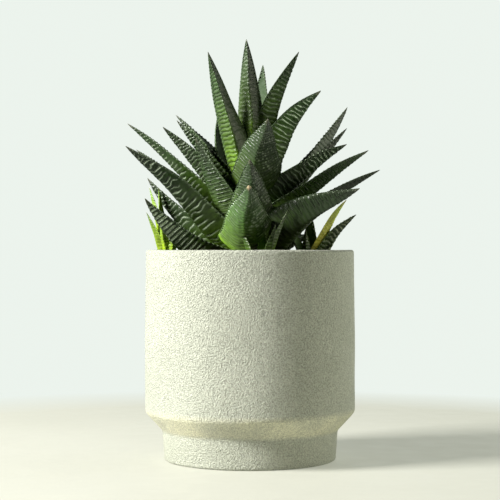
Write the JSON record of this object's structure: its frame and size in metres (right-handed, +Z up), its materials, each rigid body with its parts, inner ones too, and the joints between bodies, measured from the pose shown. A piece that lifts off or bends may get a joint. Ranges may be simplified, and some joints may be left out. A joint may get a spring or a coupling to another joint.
{
  "type": "potted aloe plant",
  "caption": "Small aloe-like succulent with pointed, white-ridged leaves and young offsets in a footed matte ceramic pot",
  "frame": {"origin": "centre of the flat underside of the pot, on the surface that it stands on", "axes": "+Z up, from the foot to the leaf tips; +X to the viewer's right; -Y towards the viewer in the front view"},
  "size_m": [0.1208, 0.1004, 0.2],
  "materials": {
    "pot_glaze": "matte, fine sandy orange-peel glaze in pale sage cream",
    "soil": "dark, crumbly potting soil with grit",
    "stem": "dull, fibrous, green-brown",
    "leaf_green": "satin, dark green with raised whitish cross ridges and dots",
    "leaf_young": "satin, bright yellow-green young leaf",
    "leaf_yellowing": "satin, yellow-olive ageing leaf"
  },
  "bodies": {
    "root": {"pot": "pot_glaze", "potting_soil": "soil", "main_stem": "stem", "left_pup_stem": "stem", "right_pup_stem": "stem", "front_pup_stem": "stem", "main_leaf_01": "leaf_green", "main_leaf_02": "leaf_green", "main_leaf_03": "leaf_green", "main_leaf_04": "leaf_green", "main_leaf_05": "leaf_green", "main_leaf_06": "leaf_green", "main_leaf_07": "leaf_green", "main_leaf_08": "leaf_green", "main_leaf_09": "leaf_green", "main_leaf_10": "leaf_green", "main_leaf_11": "leaf_green", "main_leaf_12": "leaf_green", "main_leaf_13": "leaf_green", "main_leaf_14": "leaf_green", "main_leaf_15": "leaf_green", "main_leaf_16": "leaf_green", "main_leaf_17": "leaf_green", "main_leaf_18": "leaf_green", "main_leaf_19": "leaf_green", "main_leaf_20": "leaf_green", "main_leaf_21": "leaf_green", "main_leaf_22": "leaf_green", "main_leaf_23": "leaf_green", "main_leaf_24": "leaf_green", "main_leaf_25": "leaf_green", "main_leaf_26": "leaf_green", "main_leaf_27": "leaf_green", "main_leaf_28": "leaf_green", "main_leaf_29": "leaf_green", "main_leaf_30": "leaf_green", "main_leaf_31": "leaf_green", "main_leaf_32": "leaf_green", "main_leaf_33": "leaf_green", "main_leaf_34": "leaf_green", "main_leaf_35": "leaf_green", "left_pup_leaf_01": "leaf_young", "left_pup_leaf_02": "leaf_young", "left_pup_leaf_03": "leaf_young", "left_pup_leaf_04": "leaf_young", "left_pup_leaf_05": "leaf_young", "left_pup_leaf_06": "leaf_young", "left_pup_leaf_07": "leaf_young", "right_pup_leaf_01": "leaf_young", "right_pup_leaf_02": "leaf_yellowing", "right_pup_leaf_03": "leaf_young", "right_pup_leaf_04": "leaf_young", "right_pup_leaf_05": "leaf_young", "right_pup_leaf_06": "leaf_young", "right_pup_leaf_07": "leaf_young", "front_pup_leaf_01": "leaf_young", "front_pup_leaf_02": "leaf_young", "front_pup_leaf_03": "leaf_young", "front_pup_leaf_04": "leaf_young"}
  },
  "joints": []
}
